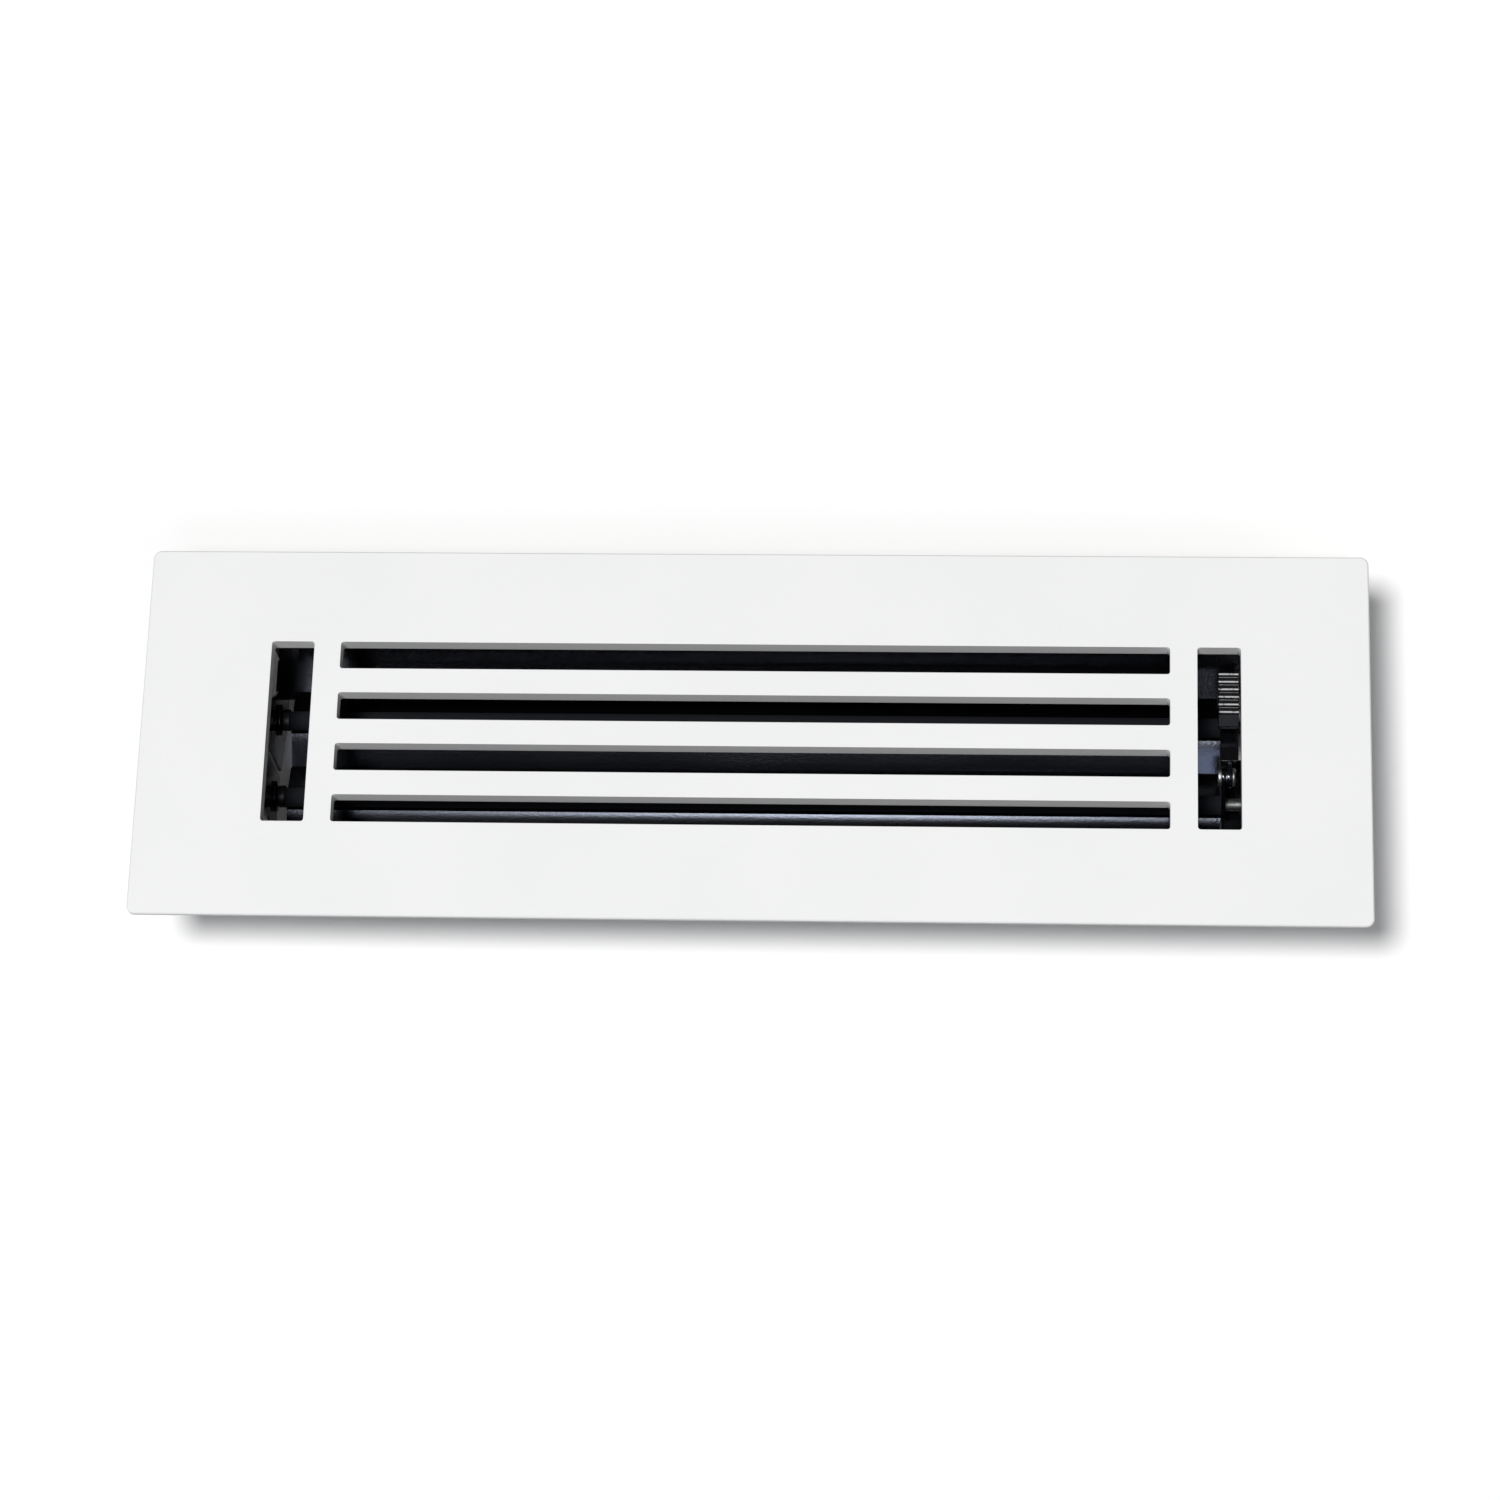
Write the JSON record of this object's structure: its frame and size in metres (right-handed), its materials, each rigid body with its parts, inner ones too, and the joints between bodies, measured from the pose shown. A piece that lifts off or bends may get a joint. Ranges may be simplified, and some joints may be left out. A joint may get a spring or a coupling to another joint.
{
  "type": "linear bar vent cover",
  "caption": "Flat white floor or wall vent cover with long slots between straight bars, and a lever-worked blade damper behind them.",
  "frame": {"origin": "middle of the seat plane, where the back of the plate's border meets the floor or wall", "axes": "+X along the length, +Y towards the far long edge, +Z out of the face"},
  "size_m": [0.2922, 0.0922, 0.0342],
  "materials": {
    "white_paint": "satin white powder coat on cast aluminium",
    "black_coat": "satin black powder coat on steel sheet",
    "zinc_steel": "dull zinc-plated steel",
    "black_nylon": "moulded black nylon",
    "black_grip": "moulded black plastic with cross ribs"
  },
  "bodies": {
    "cover": {"face_plate": "white_paint", "damper_frame": "black_coat", "frame_screws": "zinc_steel"},
    "far_blade": {"blade_far": "black_coat", "pivot_rod_far": "zinc_steel", "crank_far": "black_coat", "crank_pin_far": "zinc_steel", "spacer_far": "black_nylon", "friction_washer_far": "black_coat", "retainers_far": "zinc_steel"},
    "near_blade": {"blade_near": "black_coat", "pivot_rod_near": "zinc_steel", "crank_near": "black_coat", "crank_pin_near": "zinc_steel", "spacer_near": "black_nylon", "friction_washer_near": "black_coat", "retainers_near": "zinc_steel"},
    "lever": {"tie_bar": "black_coat", "thumb_grip": "black_grip"}
  },
  "joints": [
    {"name": "far_blade_turn", "type": "hinge", "parent": "cover", "child": "far_blade", "pos_m": [0, 0.0098, -0.0146], "axis": [1, 0, 0], "range_deg": [0, 68]},
    {"name": "near_blade_turn", "type": "hinge", "parent": "cover", "child": "near_blade", "pos_m": [0, -0.0098, -0.0146], "axis": [1, 0, 0], "range_deg": [0, 68]},
    {"name": "lever_swing", "type": "hinge", "parent": "far_blade", "child": "lever", "pos_m": [0.1133, 0.0145, -0.00813], "axis": [1, 0, 0], "range_deg": [-68, 0]}
  ],
  "couplings": [
    {"joint": "near_blade_turn", "follows": "far_blade_turn", "ratio": 1},
    {"joint": "lever_swing", "follows": "far_blade_turn", "ratio": -1}
  ]
}
